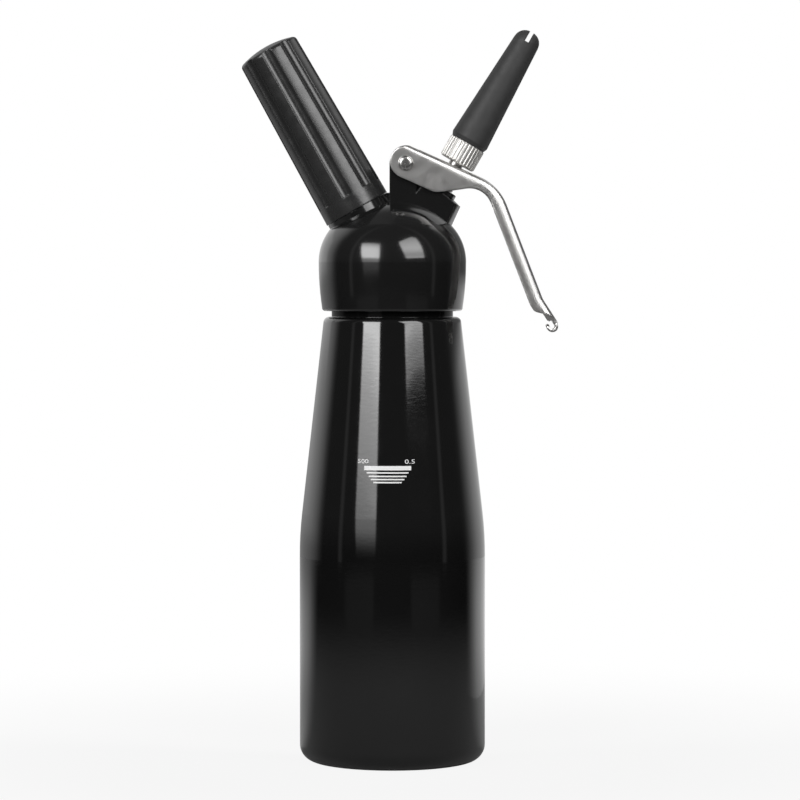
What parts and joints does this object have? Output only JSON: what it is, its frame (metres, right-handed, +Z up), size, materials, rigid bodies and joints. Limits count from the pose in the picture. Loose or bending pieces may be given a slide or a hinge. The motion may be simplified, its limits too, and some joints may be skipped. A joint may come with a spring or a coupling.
{
  "type": "cream whipper",
  "caption": "Black pressure bottle with a screw-on domed head, a fluted gas cartridge holder, and a squeeze lever that opens the valve to a tapered decorating tip.",
  "frame": {"origin": "middle of the bottle's foot, on the surface that it stands on", "axes": "+Z up the bottle's axis, +X towards the lever and the decorating tip, -X towards the cartridge holder"},
  "size_m": [0.1325, 0.078, 0.307],
  "materials": {
    "black_paint": "gloss",
    "holder_plastic": "satin",
    "tip_plastic": "matte",
    "stainless": "satin",
    "nickel": "polished",
    "plated_steel": "satin",
    "brass": "satin",
    "seal_rubber": "matte"
  },
  "bodies": {
    "bottle": {"bottle": "black_paint"},
    "gasket": {"head_gasket": "seal_rubber"},
    "head": {"head": "black_paint", "charge_valve": "brass", "check_sleeve": "seal_rubber", "piercing_pin": "stainless", "charger_seal": "seal_rubber", "valve_gland": "black_paint", "stem_o_ring": "seal_rubber", "valve_spring": "plated_steel"},
    "lever": {"lever": "stainless", "lever_pin": "stainless"},
    "stem": {"valve_stem": "stainless", "valve_seal": "seal_rubber", "stem_collar": "nickel"},
    "washer": {"adapter_washer": "seal_rubber"},
    "nozzle": {"nozzle_adapter": "nickel", "decorator_tip": "tip_plastic"},
    "charger": {"gas_charger": "plated_steel"},
    "holder": {"charger_holder": "holder_plastic"}
  },
  "joints": [
    {"name": "head_lift", "type": "slide", "parent": "bottle", "child": "gasket", "axis": [0, 0, 1], "range_m": [0, 0.009]},
    {"name": "head_turn", "type": "hinge", "parent": "gasket", "child": "head", "pos_m": [0, 0, 0.2], "axis": [0, 0, 1], "range_deg": [0, 1080]},
    {"name": "lever_squeeze", "type": "hinge", "parent": "head", "child": "lever", "pos_m": [0.00556, 0, 0.2512], "axis": [0, 1, 0], "range_deg": [0, 11.6]},
    {"name": "valve_stroke", "type": "slide", "parent": "head", "child": "stem", "axis": [-0.5, 0, -0.866], "range_m": [0, 0.00374], "stiffness_N_per_m": 3000, "springref_m": -0.006, "deforming": ["valve_spring"]},
    {"name": "adapter_feed", "type": "slide", "parent": "stem", "child": "washer", "axis": [0.5, 0, 0.866], "range_m": [0, 0.0045]},
    {"name": "adapter_turn", "type": "hinge", "parent": "washer", "child": "nozzle", "pos_m": [0.0269, 0, 0.2514], "axis": [0.5, 0, 0.866], "range_deg": [0, 1620]},
    {"name": "charger_feed", "type": "slide", "parent": "head", "child": "charger", "axis": [-0.4924, 0, 0.8704], "range_m": [0, 0.01]},
    {"name": "holder_turn", "type": "hinge", "parent": "charger", "child": "holder", "pos_m": [-0.01482, 0, 0.23219], "axis": [-0.4924, 0, 0.8704], "range_deg": [0, 1800]}
  ],
  "couplings": [
    {"joint": "head_lift", "follows": "head_turn", "m_per_rad": 0.00047746},
    {"joint": "lever_squeeze", "follows": "valve_stroke", "rad_per_m": 54.191},
    {"joint": "adapter_turn", "follows": "adapter_feed", "rad_per_m": 6283},
    {"joint": "holder_turn", "follows": "charger_feed", "rad_per_m": 3141.5}
  ]
}
